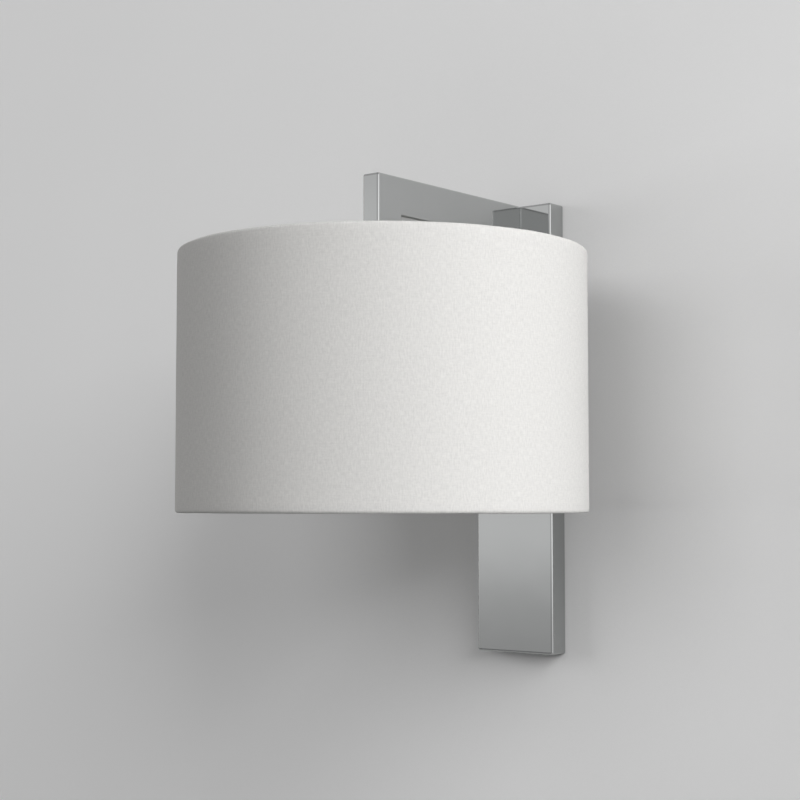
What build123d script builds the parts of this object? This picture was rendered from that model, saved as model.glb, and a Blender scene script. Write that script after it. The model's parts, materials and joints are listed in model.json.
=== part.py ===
from build123d import *
import math
import os

# Fabric shade wall light: a slim wall plate, an arm that reaches out and turns down,
# and a drum shade hung round the lampholder at the end of the arm.
# Millimetres. The origin is the middle of the wall plate, on the wall.
# +Z is up, +X is to the right of someone who faces the wall, and the light stands out along -Y.

# ---- wall cover ----
cover_width = 61.0
cover_height = 301.0
cover_depth = 15.0
cover_wall = 1.5
cover_edge_radius = 1.5

# ---- arm: a flat tube that runs out from the cover and turns down ----
arm_width = 12.7
arm_height = 24.5
post_depth = 23.5
post_length = 54.5
arm_wall = 1.5
arm_edge_radius = 1.5
arm_joint_radius = 1.0

# ---- wall bracket and the screws that hold the cover ----
bracket_width = 54.0
bracket_end_gap = 0.5
bracket_thickness = 2.0
tab_width = 10.0
tab_reach = 12.0
tab_thickness = 3.0
wall_slot_spacing = 210.0
wall_slot_width = 5.2
wall_slot_length = 12.0
set_screw_radius = 2.0
set_screw_length = 6.0
set_screw_inset = 0.2
set_screw_socket_across = 2.0
set_screw_socket_depth = 2.5
set_screw_y = -7.0

# ---- fits ----
thread_clearance = 0.05
hole_clearance = 0.2
glue_gap = 0.05
seat_gap = 0.1
pick_tolerance = 0.01

# ---- plate and block that carry the arm, with their screws ----
stiffener_width = 24.0
stiffener_height = 37.0
stiffener_thickness = 3.0
stiffener_top_gap = 1.0
end_block_length = 20.0
arm_screw_radius = 2.0
arm_screw_grip = 12.0
arm_screw_spacing = 13.0
wire_bore_radius = 3.0

# ---- pan heads of the small screws ----
pan_head_radius = 3.4
pan_head_height = 2.4
head_slot_width = 0.8
head_slot_depth = 1.0

# ---- cable entry ----
cable_entry_z = -18.0
cable_hole_radius = 10.0
bush_bore_radius = 6.5
bush_flange_radius = 12.0
bush_flange_thickness = 1.5

# ---- terminal block ----
terminal_block_z = -60.0
terminal_pitch = 8.5
terminal_block_width = 27.0
terminal_block_depth = 9.0
terminal_block_height = 17.0
block_corner_radius = 1.0
terminal_hole_radius = 1.5
terminal_hole_depth = 6.0
terminal_screw_radius = 1.6
terminal_screw_length = 3.0
terminal_screw_inset = 0.4
terminal_screw_spread = 8.0
block_screw_radius = 1.5
block_screw_head_radius = 2.3
block_screw_head_height = 1.5
block_screw_recess = 3.0

# ---- wires ----
wire_radius = 1.1
wire_offset = 1.3
wire_bend_radius = 8.0
wire_tight_radius = 4.5
wire_entry_depth = 3.0
wire_stud_margin = 1.0
clip_z = 66.0
clip_width = 24.0
clip_depth = 7.0
clip_height = 8.0
clip_corner_radius = 1.5

# ---- earth points ----
bracket_earth_z = 28.0
bond_earth_z = 44.0
stiffener_earth_rise = 5.0
earth_screw_radius = 2.0
tag_radius = 4.0
tag_thickness = 0.8
tag_barrel_radius = 1.9
tag_barrel_start = 4.5
tag_barrel_length = 5.0
tag_wire_inset = 1.0

# ---- end of the arm: plug, hollow stud and nuts ----
plug_thickness = 4.0
plug_spigot_length = 6.0
stud_radius = 5.0
stud_bore_radius = 3.6
stud_tail = 3.0
nut_across = 14.0
nut_thickness = 2.5

# ---- lampholder ----
holder_cap_height = 20.0
holder_neck_radius = 9.0
holder_shoulder_radius = 12.0
holder_wall = 2.0
holder_length = 33.0
holder_thread_radius = 20.0
holder_sleeve_wall = 2.2
flange_radius = 25.5
flange_thickness = 3.0
flange_drop = 6.5
insulator_height = 7.5
insulator_ledge = 2.0
rivet_hole_radius = 2.0
shell_radius = 13.3
shell_wall = 0.5
shell_flange_width = 1.6
shell_recess = 1.5
contact_radius = 4.0
contact_height = 1.5
terminal_post_offset = 9.0
terminal_post_width = 5.0
terminal_post_height = 5.5

# ---- ring and washer that clamp the shade ----
clamp_washer_thickness = 1.5
clamp_ring_height = 7.0
clamp_ring_radius = 25.5
clamp_clearance = 0.3
clamp_ring_ribs = 24
clamp_rib_radius = 0.9

# ---- shade ----
shade_diameter = 250.0
shade_cover_gap = 14.8
shade_height = 158.0
fabric_thickness = 0.5
liner_thickness = 0.4
ring_wire_radius = 0.9
ring_clearance = 0.25
hem_depth = 8.0
carrier_recess = 38.5
carrier_ring_thickness = 1.6
carrier_rim_width = 3.0
carrier_weld_length = 2.0
carrier_clearance = 0.8
carrier_arm_radius = 1.3
carrier_arm_count = 3
carrier_first_angle = -90.0
carrier_flat_run = 22.0
carrier_top_run = 12.0
carrier_bend_radius = 8.0

# ---- lamp ----
lamp_length = 105.0
lamp_radius = 30.0
lamp_cap_radius = 13.1
lamp_cap_length = 20.5
lamp_contact_radius = 4.5
lamp_contact_height = 1.6
lamp_glass_height = 3.4
lamp_glass_radius = 10.5
lamp_glass_lip = 1.0
lamp_contact_gap = 0.3
lamp_waist_rise = 15.5
lamp_collar_radius = 14.0
lamp_bulge_drop = 15.0
lamp_bulge_radius = 21.0
lamp_wall = 1.2
lamp_board_thickness = 1.6
lamp_board_clearance = 0.6

# ---- heights and places that follow from the sizes above ----
cover_front = -cover_depth
cover_inner_face = cover_front + cover_wall
cover_inner_half_height = cover_height / 2 - cover_wall
bracket_half_height = cover_inner_half_height - bracket_end_gap
arm_top = cover_height / 2
arm_middle = arm_top - arm_height / 2
arm_bottom = arm_top - arm_height
shade_radius = shade_diameter / 2
arm_reach = cover_depth + shade_cover_gap + shade_radius
lamp_axis = (0.0, -arm_reach)
post_front = -arm_reach - post_depth / 2
post_back = -arm_reach + post_depth / 2
post_bottom = arm_top - post_length
plug_bottom = post_bottom - plug_thickness
holder_top = plug_bottom - nut_thickness
stud_end = holder_top - holder_wall - nut_thickness - stud_tail
holder_joint = holder_top - holder_cap_height
holder_mouth = holder_joint - holder_length
holder_radius = holder_neck_radius + holder_shoulder_radius
insulator_bottom = holder_joint - insulator_height
insulator_radius = holder_thread_radius - holder_sleeve_wall - glue_gap
flange_bottom = holder_joint - flange_drop
carrier_top = flange_bottom - seat_gap
carrier_bottom = carrier_top - carrier_ring_thickness
washer_top = carrier_bottom - seat_gap
clamp_ring_top = washer_top - clamp_washer_thickness - seat_gap
shade_top = carrier_top + carrier_recess
shade_bottom = shade_top - shade_height
ring_space = 2 * (ring_wire_radius + ring_clearance)
rim_thickness = 2 * fabric_thickness + glue_gap + liner_thickness + ring_space
rim_radius = rim_thickness / 2
rim_middle = shade_radius - rim_radius
liner_outer_radius = shade_radius - fabric_thickness - glue_gap
ring_middle = liner_outer_radius - liner_thickness - ring_space / 2
top_ring_z = shade_top - rim_radius
bottom_ring_z = shade_bottom + rim_radius
contact_bottom = insulator_bottom - contact_height
lamp_tip = contact_bottom - lamp_contact_gap
lamp_cap_top = lamp_tip - lamp_contact_height - lamp_glass_height
lamp_cap_bottom = lamp_cap_top - lamp_cap_length
lamp_end = lamp_tip - lamp_length
lamp_globe_z = lamp_end + lamp_radius
lamp_waist = lamp_globe_z + lamp_waist_rise
lamp_waist_radius = math.sqrt(lamp_radius**2 - lamp_waist_rise**2)
stiffener_top = cover_inner_half_height - stiffener_top_gap
stiffener_bottom = stiffener_top - stiffener_height
stiffener_back = cover_inner_face + stiffener_thickness
stiffener_earth_z = stiffener_bottom + stiffener_earth_rise
wire_y = -bracket_thickness - terminal_block_depth / 2
bracket_tag_y = -bracket_thickness - tag_barrel_radius
stiffener_tag_y = stiffener_back + tag_barrel_radius
wire_in_y = (-bracket_thickness + stiffener_back + pan_head_height) / 2


# ---- shapes used by many pieces ----
def block(low, high):
    """A box between two opposite corners."""
    size = [b - a for a, b in zip(low, high)]
    return Pos(*low) * Box(*size, align=(Align.MIN, Align.MIN, Align.MIN))


def edges_at(edges, axis, place):
    """The edges whose middle lies at one place along an axis."""
    return edges.filter_by_position(axis, place - pick_tolerance, place + pick_tolerance)


def upright(radius, low, high, at=lamp_axis):
    """A round bar that stands along Z between two heights."""
    bar = Cylinder(radius, high - low, align=(Align.CENTER, Align.CENTER, Align.MIN))
    return Pos(at[0], at[1], low) * bar


def outward(radius, back, front, at):
    """A round bar along Y, from the wall side to the room side, at a given x and z."""
    bar = Cylinder(radius, back - front, align=(Align.CENTER, Align.CENTER, Align.MIN))
    return Pos(at[0], back, at[1]) * Rot(90, 0, 0) * bar


def turned(outline):
    """A closed outline of radius and height points, spun round the lampholder's axis."""
    face = Plane.XZ * make_face(Polyline(*outline, close=True))
    return Pos(*lamp_axis, 0) * revolve(face, Axis.Z)


def pan_screw(radius, length):
    """A slotted screw along Z: its head stands on z = 0 and its shank hangs below."""
    head = upright(pan_head_radius, 0, pan_head_height, (0, 0))
    rim = head.edges().filter_by(GeomType.CIRCLE).sort_by(Axis.Z)[-1]
    head = fillet(rim, pan_head_height / 3)
    shank = upright(radius, -length, 0, (0, 0))
    slot = Pos(0, 0, pan_head_height) * Box(
        3 * pan_head_radius, head_slot_width, 2 * head_slot_depth
    )
    return head + shank - slot


def wire(points, radii):
    """A round insulated wire along straight runs joined by arcs."""
    path = FilletPolyline(*points, radius=radii)
    section = Plane(origin=path @ 0, z_dir=path % 0) * Circle(wire_radius)
    return sweep(section, path=path)


# ---- wall side ----
def wall_bracket():
    """Steel strap that is screwed to the wall, with four tabs that take the cover's screws."""
    half = bracket_width / 2
    strap = block(
        (-half, -bracket_thickness, -bracket_half_height), (half, 0, bracket_half_height)
    )
    for x, side in corner_places():
        strap += Pos(x, 0, side * (bracket_half_height - tab_thickness / 2)) * bracket_tab()
        strap -= Pos(x, 0, side * (bracket_half_height - tab_thickness / 2)) * tapped_hole()
    slot_face = Plane.XZ * SlotOverall(wall_slot_length, wall_slot_width, rotation=90)
    slot = extrude(slot_face, 2 * bracket_thickness, both=True)
    for z in (-wall_slot_spacing / 2, wall_slot_spacing / 2):
        strap -= Pos(0, 0, z) * slot
    strap -= outward(cable_hole_radius, 0, -bracket_thickness, (0, cable_entry_z))
    strap -= outward(block_screw_radius + thread_clearance, 0, -bracket_thickness, block_screw_place())
    for z in (bracket_earth_z, bond_earth_z):
        strap -= outward(earth_screw_radius + thread_clearance, 0, -bracket_thickness, (0, z))
    return strap


def bracket_tab():
    """One tab, folded out from the strap, round x = 0 and z = 0."""
    half = tab_width / 2
    return block((-half, -tab_reach, -tab_thickness / 2), (half, 0, tab_thickness / 2))


def tapped_hole():
    """The hole through a tab for a set screw, round x = 0 and z = 0."""
    radius = set_screw_radius + thread_clearance
    return upright(radius, -tab_thickness / 2, tab_thickness / 2, (0, set_screw_y))


def corner_places():
    """x of the four cover screws, each with -1 for the bottom edge or 1 for the top."""
    x = bracket_width / 2 - tab_width / 2
    return [(-x, -1), (x, -1), (-x, 1), (x, 1)]


def cable_bush():
    """Plastic bush that lines the hole where the house cable comes in."""
    sleeve = outward(cable_hole_radius - glue_gap, 0, -bracket_thickness, (0, cable_entry_z))
    flange_front = -bracket_thickness - bush_flange_thickness
    flange = outward(bush_flange_radius, -bracket_thickness, flange_front, (0, cable_entry_z))
    return sleeve + flange - outward(bush_bore_radius, 0, flange_front, (0, cable_entry_z))


def block_screw_place():
    """x and z of the screw that holds the terminal block, between two of its poles."""
    return (terminal_pitch / 2, terminal_block_z)


def terminal_places():
    """x of the three poles: live, earth and neutral."""
    return [-terminal_pitch, 0.0, terminal_pitch]


def terminal_block():
    """Three-pole connector block with wire holes above and below and screws in its face."""
    front = -bracket_thickness - terminal_block_depth
    half_width = terminal_block_width / 2
    half_height = terminal_block_height / 2
    body = block(
        (-half_width, front, terminal_block_z - half_height),
        (half_width, -bracket_thickness, terminal_block_z + half_height),
    )
    body = fillet(body.edges().filter_by(Axis.Z), block_corner_radius)
    for x in terminal_places():
        top = terminal_block_z + half_height
        body -= upright(terminal_hole_radius, top - terminal_hole_depth, top, (x, wire_y))
        bottom = terminal_block_z - half_height
        body -= upright(terminal_hole_radius, bottom, bottom + terminal_hole_depth, (x, wire_y))
        for z in terminal_screw_heights():
            depth = terminal_screw_length + terminal_screw_inset
            body -= outward(terminal_screw_radius + thread_clearance, front + depth, front, (x, z))
    place = block_screw_place()
    body -= outward(block_screw_radius + thread_clearance, 0, front, place)
    body -= outward(block_screw_head_radius + hole_clearance, front + block_screw_recess, front, place)
    return body


def terminal_screw_heights():
    """z of the upper and lower row of terminal screws."""
    return [terminal_block_z - terminal_screw_spread / 2, terminal_block_z + terminal_screw_spread / 2]


def terminal_screws():
    """Six small slotted screws, one solid each."""
    front = -bracket_thickness - terminal_block_depth + terminal_screw_inset
    screws = []
    for x in terminal_places():
        for z in terminal_screw_heights():
            screw = outward(terminal_screw_radius, front + terminal_screw_length, front, (x, z))
            slot = Pos(x, front, z) * Box(4 * terminal_screw_radius, head_slot_depth, head_slot_width)
            screws.append(screw - slot)
    return Compound(children=screws)


def terminal_block_screw():
    """Screw that holds the terminal block to the bracket."""
    place = block_screw_place()
    seat = -bracket_thickness - terminal_block_depth + block_screw_recess
    shank = outward(block_screw_radius, 0, seat, place)
    head = outward(block_screw_head_radius, seat, seat - block_screw_head_height, place)
    slot = Pos(place[0], seat - block_screw_head_height, place[1])
    return shank + head - slot * Box(4 * block_screw_head_radius, head_slot_depth, head_slot_width)


def earth_screws():
    """Two screws in the bracket and one in the stiffener, each with a wire tag under its head."""
    bracket_screw = Rot(90, 0, 0) * pan_screw(earth_screw_radius, bracket_thickness + tag_thickness)
    stiffener_screw = Rot(-90, 0, 0) * pan_screw(earth_screw_radius, stiffener_thickness + tag_thickness)
    head_seat = -bracket_thickness - tag_thickness
    return Compound(
        children=[
            Pos(0, head_seat, bracket_earth_z) * bracket_screw,
            Pos(0, head_seat, bond_earth_z) * bracket_screw,
            Pos(0, stiffener_back + tag_thickness, stiffener_earth_z) * stiffener_screw,
        ]
    )


def wire_tag():
    """Ring tag that lies on y = 0 round the origin, with its barrel along +Z on the room side."""
    ring = outward(tag_radius, 0, -tag_thickness, (0, 0))
    half = tag_barrel_radius
    tongue = block((-half, -tag_thickness, 0), (half, 0, tag_barrel_start + tag_wire_inset))
    barrel_end = tag_barrel_start + tag_barrel_length
    barrel = upright(tag_barrel_radius, tag_barrel_start, barrel_end, (0, -tag_barrel_radius))
    bore = upright(wire_radius + glue_gap, tag_barrel_start, barrel_end, (0, -tag_barrel_radius))
    screw_hole = outward(earth_screw_radius + hole_clearance, 0, -tag_thickness, (0, 0))
    return ring + tongue + barrel - bore - screw_hole


def earth_tags():
    """The three ring tags: their barrels point down, up, and down from the stiffener."""
    down = Rot(0, 180, 0) * wire_tag()
    return Compound(
        children=[
            Pos(0, -bracket_thickness, bracket_earth_z) * down,
            Pos(0, -bracket_thickness, bond_earth_z) * wire_tag(),
            Pos(0, stiffener_back, stiffener_earth_z) * Rot(180, 0, 0) * wire_tag(),
        ]
    )


def earth_wire():
    """Earth wire from the terminal block up to the lower tag on the bracket."""
    start = terminal_block_z + terminal_block_height / 2 - wire_entry_depth
    end = bracket_earth_z - tag_barrel_start - tag_wire_inset
    low_bend = end - tag_barrel_length - 2 * wire_bend_radius
    points = [
        (0, wire_y, start),
        (0, wire_y, low_bend),
        (0, bracket_tag_y, end - tag_barrel_length - wire_tight_radius),
        (0, bracket_tag_y, end),
    ]
    return wire(points, wire_bend_radius)


def bonding_wire():
    """Wire that earths the cover, from the upper tag on the bracket to the stiffener's tag."""
    start = bond_earth_z + tag_barrel_start + tag_wire_inset
    end = stiffener_earth_z - tag_barrel_start - tag_wire_inset
    low_bend = clip_z + clip_height / 2 + wire_tight_radius
    points = [
        (0, bracket_tag_y, start),
        (0, bracket_tag_y, low_bend),
        (0, stiffener_tag_y, end - tag_barrel_length - wire_tight_radius),
        (0, stiffener_tag_y, end),
    ]
    return wire(points, wire_bend_radius)


def supply_wire(side):
    """Wire from the terminal block, up the plate, out along the arm and down to the lampholder."""
    start = terminal_block_z + terminal_block_height / 2 - wire_entry_depth
    inward = stiffener_bottom - 2 * wire_bend_radius
    spread_z = holder_joint + terminal_post_height
    points = [
        (side * terminal_pitch, wire_y, start),
        (side * terminal_pitch, wire_y, inward),
        (side * wire_offset, wire_in_y, stiffener_bottom),
        (side * wire_offset, wire_in_y, arm_middle),
        (side * wire_offset, -arm_reach, arm_middle),
        (side * wire_offset, -arm_reach, stud_end - wire_stud_margin),
        (side * terminal_post_offset, -arm_reach, spread_z + wire_tight_radius),
        (side * terminal_post_offset, -arm_reach, spread_z),
    ]
    radii = [
        wire_bend_radius,
        wire_bend_radius,
        wire_tight_radius,
        wire_bend_radius,
        wire_tight_radius / 2,
        wire_tight_radius / 2,
    ]
    return wire(points, radii)


def wire_clip():
    """Plastic saddle that holds the three wires against the bracket."""
    clip = block(
        (-clip_width / 2, -bracket_thickness - clip_depth, clip_z - clip_height / 2),
        (clip_width / 2, -bracket_thickness, clip_z + clip_height / 2),
    )
    clip = fillet(clip.edges().filter_by(Axis.Z), clip_corner_radius)
    low, high = clip_z - clip_height / 2, clip_z + clip_height / 2
    clip -= upright(wire_radius + glue_gap, low, high, (0, bracket_tag_y))
    for side in (-1, 1):
        clip -= upright(wire_radius + glue_gap, low, high, (side * terminal_pitch, wire_y))
    return clip


# ---- cover and arm ----
def cover():
    """Five-sided plated cover, open to the wall, with the holes for the arm and its screws."""
    half_width = cover_width / 2
    half_height = cover_height / 2
    shell = block((-half_width, cover_front, -half_height), (half_width, 0, half_height))
    corners = shell.edges().filter_by(Axis.Y)
    front_edges = shell.faces().sort_by(Axis.Y)[0].edges()
    shell = fillet(corners + front_edges, cover_edge_radius)
    shell -= block(
        (-half_width + cover_wall, cover_inner_face, -cover_inner_half_height),
        (half_width - cover_wall, 0, cover_inner_half_height),
    )
    shell -= arm_fixing_holes(cover_inner_face, cover_front, arm_screw_radius + hole_clearance)
    for x, side in corner_places():
        low, high = sorted((side * cover_inner_half_height, side * cover_height / 2))
        shell -= upright(set_screw_radius + hole_clearance, low, high, (x, set_screw_y))
    return shell


def arm_fixing_holes(back, front, radius):
    """The wire hole and the two screw holes on the arm's middle line."""
    holes = outward(wire_bore_radius, back, front, (0, arm_middle))
    for z in arm_screw_heights():
        holes += outward(radius, back, front, (0, z))
    return holes


def arm_screw_heights():
    """z of the two screws that hold the arm."""
    return [arm_middle - arm_screw_spacing / 2, arm_middle + arm_screw_spacing / 2]


def stiffener():
    """Steel plate welded inside the cover, behind the arm, to spread its load."""
    half = stiffener_width / 2
    plate = block((-half, cover_inner_face, stiffener_bottom), (half, stiffener_back, stiffener_top))
    plate -= arm_fixing_holes(stiffener_back, cover_inner_face, arm_screw_radius + hole_clearance)
    earth = (0, stiffener_earth_z)
    return plate - outward(earth_screw_radius + thread_clearance, stiffener_back, cover_inner_face, earth)


def cover_screws():
    """Four socket set screws, flush with the top and bottom edges of the cover."""
    depth = set_screw_socket_depth
    socket = extrude(RegularPolygon(set_screw_socket_across / 2, 6, major_radius=False), depth)
    screw = upright(set_screw_radius, -set_screw_length, 0, (0, 0)) - Pos(0, 0, -depth) * socket
    outer = cover_height / 2 - set_screw_inset
    screws = []
    for x, side in corner_places():
        turn = Rot(90 - 90 * side, 0, 0)
        screws.append(Pos(x, set_screw_y, side * outer) * turn * screw)
    return Compound(children=screws)


def arm_outline(inset):
    """The arm seen from its side, in Y and Z: along the top, down the post and back."""
    top = arm_top - inset
    under = arm_bottom + inset
    near = post_front + inset
    back = post_back - inset
    return Polyline(
        (cover_front, top),
        (near, top),
        (near, post_bottom),
        (back, post_bottom),
        (back, under),
        (cover_front, under),
        close=True,
    )


def arm():
    """Flat rectangular tube, out along -Y and down, mitred and closed at its front corner."""
    solid = extrude(Plane.YZ * make_face(arm_outline(0)), arm_width / 2, both=True)
    plate_end = edges_at(solid.edges(), Axis.Y, cover_front)
    foot = edges_at(solid.edges(), Axis.Z, post_bottom)
    inner_corner = edges_at(solid.edges().filter_by(Axis.X), Axis.Z, arm_bottom)
    long_edges = [e for e in solid.edges() if e not in plate_end + foot + inner_corner]
    solid = fillet(long_edges, arm_edge_radius)
    rim = solid.faces().sort_by(Axis.Y)[-1].edges()
    solid = fillet(rim, arm_joint_radius)
    hollow = extrude(Plane.YZ * make_face(arm_outline(arm_wall)), arm_width / 2 - arm_wall, both=True)
    return solid - hollow


def arm_end_block():
    """Block brazed into the arm's wall end, tapped for its two screws and bored for the wires."""
    half_width = arm_width / 2 - arm_wall - glue_gap
    half_height = arm_height / 2 - arm_wall - glue_gap
    front = cover_front - end_block_length
    solid = block(
        (-half_width, front, arm_middle - half_height),
        (half_width, cover_front, arm_middle + half_height),
    )
    return solid - arm_fixing_holes(cover_front, front, arm_screw_radius + thread_clearance)


def arm_screws():
    """Two screws from behind the stiffener into the arm's end block."""
    length = stiffener_thickness + cover_wall + arm_screw_grip
    screw = Rot(-90, 0, 0) * pan_screw(arm_screw_radius, length)
    return Compound(children=[Pos(0, stiffener_back, z) * screw for z in arm_screw_heights()])


def post_end_plug():
    """Plug that closes the foot of the arm, tapped for the hollow stud."""
    half_x, half_y = arm_width / 2, post_depth / 2
    plate = block((-half_x, -half_y, plug_bottom), (half_x, half_y, post_bottom))
    plate = fillet(plate.edges().filter_by(Axis.Z), arm_edge_radius)
    inset = arm_wall + glue_gap
    spigot = block(
        (-half_x + inset, -half_y + inset, post_bottom),
        (half_x - inset, half_y - inset, post_bottom + plug_spigot_length),
    )
    plug = Pos(*lamp_axis, 0) * (plate + spigot)
    plug -= upright(stud_radius + thread_clearance, plug_bottom, post_bottom)
    return plug - upright(stud_bore_radius, post_bottom, post_bottom + plug_spigot_length)


# ---- lampholder ----
def hollow_stud():
    """Hollow threaded stud that hangs the lampholder and lets the wires through."""
    high = post_bottom - glue_gap
    return upright(stud_radius, stud_end, high) - upright(stud_bore_radius, stud_end, high)


def lock_nuts():
    """Two thin hexagon nuts, above and inside the lampholder's cap."""
    nut = extrude(RegularPolygon(nut_across / 2, 6, major_radius=False), nut_thickness)
    nut = nut - upright(stud_radius + thread_clearance, 0, nut_thickness, (0, 0))
    inside = holder_top - holder_wall - nut_thickness
    return Compound(children=[Pos(*lamp_axis, z) * nut for z in (holder_top, inside)])


def holder_cap():
    """Domed cap of the lampholder, with a round shoulder and a hole for the stud."""
    shoulder_z = holder_top - holder_shoulder_radius
    inner = holder_shoulder_radius - holder_wall
    diagonal = math.sqrt(0.5)
    bore = stud_radius + thread_clearance

    def shoulder(radius, start, end):
        middle = (holder_neck_radius + radius * diagonal, shoulder_z + radius * diagonal)
        return ThreePointArc(start, middle, end)

    outer_edge = (holder_radius, shoulder_z)
    inner_edge = (holder_radius - holder_wall, shoulder_z)
    outline = Line((bore, holder_top), (holder_neck_radius, holder_top))
    outline += shoulder(holder_shoulder_radius, (holder_neck_radius, holder_top), outer_edge)
    outline += Polyline(
        outer_edge, (holder_radius, holder_joint), (holder_radius - holder_wall, holder_joint), inner_edge
    )
    under_top = holder_top - holder_wall
    outline += shoulder(inner, inner_edge, (holder_neck_radius, under_top))
    outline += Polyline((holder_neck_radius, under_top), (bore, under_top), (bore, holder_top))
    return Pos(*lamp_axis, 0) * revolve(Plane.XZ * make_face(outline), Axis.Z)


def holder_sleeve():
    """Outer sleeve of the lampholder: a wide collar, the clamping flange and the threaded skirt."""
    bore = holder_thread_radius - holder_sleeve_wall
    ledge = bore - insulator_ledge
    flange_top = flange_bottom + flange_thickness
    outline = [
        (bore, holder_joint),
        (holder_radius, holder_joint),
        (holder_radius, flange_top),
        (flange_radius, flange_top),
        (flange_radius, flange_bottom),
        (holder_thread_radius, flange_bottom),
        (holder_thread_radius, holder_mouth),
        (ledge, holder_mouth),
        (ledge, insulator_bottom),
        (bore, insulator_bottom),
    ]
    return turned(outline)


def holder_insulator():
    """Ceramic disc that carries the contacts, with a rivet hole, seated on the sleeve's ledge."""
    disc = upright(insulator_radius, insulator_bottom, holder_joint)
    return disc - upright(rivet_hole_radius, insulator_bottom, holder_joint)


def holder_shell():
    """Screw shell that takes the lamp's cap, with a flange under the insulator."""
    outer = shell_radius + shell_wall
    low = holder_mouth + shell_recess
    shell = upright(outer, low, insulator_bottom)
    shell += upright(outer + shell_flange_width, insulator_bottom - shell_wall, insulator_bottom)
    return shell - upright(shell_radius, low, insulator_bottom)


def holder_contact():
    """Centre contact of the lampholder."""
    return upright(contact_radius, contact_bottom, insulator_bottom)


def holder_terminals():
    """Two brass terminal posts on the insulator, inside the cap."""
    half = terminal_post_width / 2
    posts = []
    for side in (-1, 1):
        x = side * terminal_post_offset
        post = block(
            (x - half, -arm_reach - half, holder_joint),
            (x + half, -arm_reach + half, holder_joint + terminal_post_height),
        )
        posts.append(fillet(post.edges().filter_by(Axis.Z), half / 4))
    return Compound(children=posts)


def clamp_washer():
    """Washer between the shade's carrier and the clamping ring."""
    low = washer_top - clamp_washer_thickness
    washer = upright(clamp_ring_radius, low, washer_top)
    return washer - upright(holder_thread_radius + clamp_clearance, low, washer_top)


def clamp_ring():
    """Ring that screws up the lampholder's skirt and clamps the shade, ribbed for the fingers."""
    low = clamp_ring_top - clamp_ring_height
    ring = upright(clamp_ring_radius - clamp_rib_radius, low, clamp_ring_top)
    ribs = []
    for index in range(clamp_ring_ribs):
        angle = 2 * math.pi * index / clamp_ring_ribs
        radius = clamp_ring_radius - clamp_rib_radius
        place = (radius * math.cos(angle), -arm_reach + radius * math.sin(angle))
        ribs.append(upright(clamp_rib_radius, low, clamp_ring_top, place))
    ring = ring + ribs
    return ring - upright(holder_thread_radius + clamp_clearance, low, clamp_ring_top)


# ---- shade ----
def carrier_angles():
    """Directions of the carrier's arms round the shade."""
    return [carrier_first_angle + index * 360 / carrier_arm_count for index in range(carrier_arm_count)]


def shade_carrier():
    """Flat ring with wire arms that run out and up to the shade's top ring."""
    outer = flange_radius + carrier_rim_width
    middle = (carrier_top + carrier_bottom) / 2
    ring = upright(outer, carrier_bottom, carrier_top, (0, 0))
    root = outer - carrier_weld_length
    tip = ring_middle - ring_wire_radius - glue_gap
    path = FilletPolyline(
        (root, 0, middle),
        (root + carrier_flat_run, 0, middle),
        (tip - carrier_top_run, 0, top_ring_z),
        (tip, 0, top_ring_z),
        radius=carrier_bend_radius,
    )
    section = Plane(origin=path @ 0, z_dir=path % 0) * Circle(carrier_arm_radius)
    spoke = sweep(section, path=path)
    for angle in carrier_angles():
        ring += Rot(0, 0, angle) * spoke
    bore = upright(holder_thread_radius + carrier_clearance, carrier_bottom, carrier_top, (0, 0))
    return Pos(*lamp_axis, 0) * (ring - bore)


def shade_ring(height):
    """Round wire ring that keeps the drum's edge round."""
    return Pos(*lamp_axis, height) * Torus(ring_middle, ring_wire_radius)


def shade_liner():
    """Stiff translucent lining that the fabric is laminated to."""
    outer = upright(liner_outer_radius, bottom_ring_z, top_ring_z)
    return outer - upright(liner_outer_radius - liner_thickness, bottom_ring_z, top_ring_z)


def shade_fabric():
    """Fabric drum, rolled over both wire rings and hemmed on the inside."""
    height_middle = (shade_top + shade_bottom) / 2
    outside = SlotOverall(shade_height, rim_thickness, rotation=90)
    inside = SlotOverall(
        shade_height - 2 * fabric_thickness, rim_thickness - 2 * fabric_thickness, rotation=90
    )
    open_height = shade_height - 2 * (rim_radius + hem_depth)
    opening = Pos(-rim_radius, 0) * Rectangle(rim_thickness, open_height)
    section = Pos(rim_middle, height_middle) * (outside - inside - opening)
    fabric = revolve(Plane.XZ * section, Axis.Z)
    slit_radius = carrier_arm_radius + hole_clearance
    slit = Pos(rim_middle, 0, top_ring_z) * Rot(0, -90, 0)
    slit = slit * Cylinder(slit_radius, rim_thickness, align=(Align.CENTER, Align.CENTER, Align.MIN))
    for angle in carrier_angles():
        fabric -= Rot(0, 0, angle) * slit
    return Pos(*lamp_axis, 0) * fabric


# ---- lamp ----
def lamp_contact():
    """Centre contact of the lamp."""
    return upright(lamp_contact_radius, lamp_tip - lamp_contact_height, lamp_tip)


def lamp_glass():
    """Glass insulator between the lamp's contact and its cap."""
    top = lamp_tip - lamp_contact_height
    outline = [
        (0, top),
        (lamp_contact_radius + lamp_glass_lip, top),
        (lamp_glass_radius, lamp_cap_top),
        (0, lamp_cap_top),
    ]
    return turned(outline)


def lamp_cap():
    """Metal screw cap of the lamp."""
    shell = upright(lamp_cap_radius, lamp_cap_bottom, lamp_cap_top)
    edge = shell.edges().filter_by(GeomType.CIRCLE).sort_by(Axis.Z)[-1]
    shell = chamfer(edge, lamp_cap_radius - lamp_glass_radius)
    return shell - upright(lamp_cap_radius - shell_wall, lamp_cap_bottom, lamp_cap_top - 2 * lamp_wall)


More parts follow.
